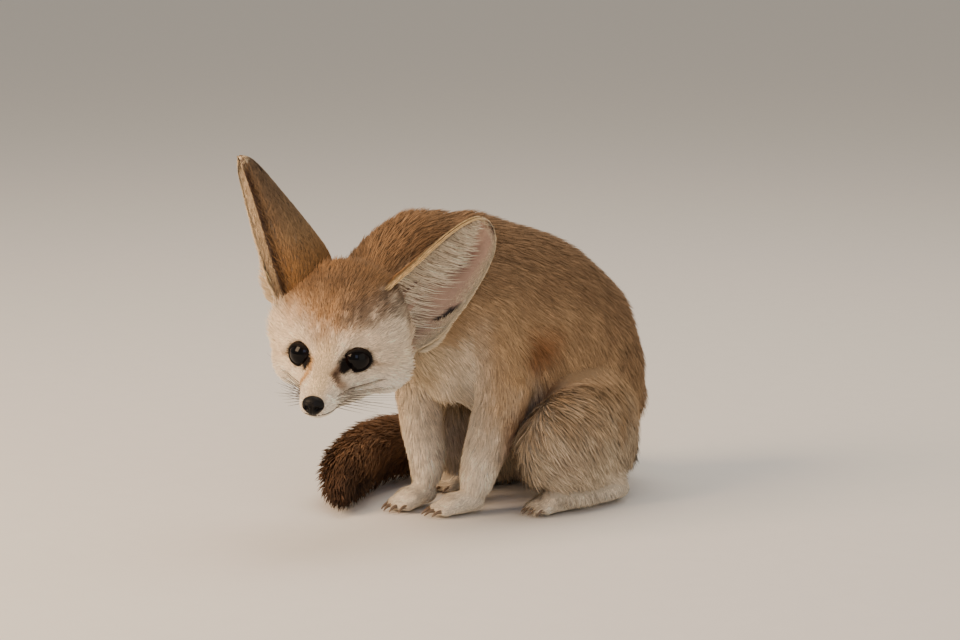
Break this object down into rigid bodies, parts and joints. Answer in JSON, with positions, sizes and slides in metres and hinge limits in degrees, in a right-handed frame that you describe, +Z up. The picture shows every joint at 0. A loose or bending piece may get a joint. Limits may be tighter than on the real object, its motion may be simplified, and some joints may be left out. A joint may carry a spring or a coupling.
{
  "type": "fennec fox",
  "caption": "Life-size fennec fox sitting with its head low and turned to its left, large cupped ears spread, forelegs upright and bushy tail laid round its right side.",
  "frame": {"origin": "centre of the bounding box at the floor", "axes": "+X the fox's left, +Y from nose to rump, +Z up"},
  "size_m": [0.1888, 0.3136, 0.224],
  "materials": {
    "coat": "soft dense fur, sandy fawn above, cream on the face, chest and legs, brown on the tail",
    "nose_leather": "moist black pebbled skin",
    "eye": "wet dark brown, mirror-like glints",
    "claw": "dark horn, slightly worn at the tips"
  },
  "bodies": {
    "root": {"torso": "coat", "neck": "coat", "head": "coat", "nose": "nose_leather", "eye_left": "eye", "ear_left": "coat", "foreleg_left": "coat", "forepaw_left": "coat", "hindleg_left": "coat", "hindpaw_left": "coat", "claw_fore_left_1": "claw", "claw_fore_left_2": "claw", "claw_fore_left_3": "claw", "claw_fore_left_4": "claw", "claw_hind_left_1": "claw", "claw_hind_left_2": "claw", "claw_hind_left_3": "claw", "claw_hind_left_4": "claw", "eye_right": "eye", "ear_right": "coat", "foreleg_right": "coat", "forepaw_right": "coat", "hindleg_right": "coat", "hindpaw_right": "coat", "claw_fore_right_1": "claw", "claw_fore_right_2": "claw", "claw_fore_right_3": "claw", "claw_fore_right_4": "claw", "claw_hind_right_1": "claw", "claw_hind_right_2": "claw", "claw_hind_right_3": "claw", "claw_hind_right_4": "claw", "tail_root": "coat", "tail_middle": "coat", "tail_tip": "coat"}
  },
  "joints": []
}
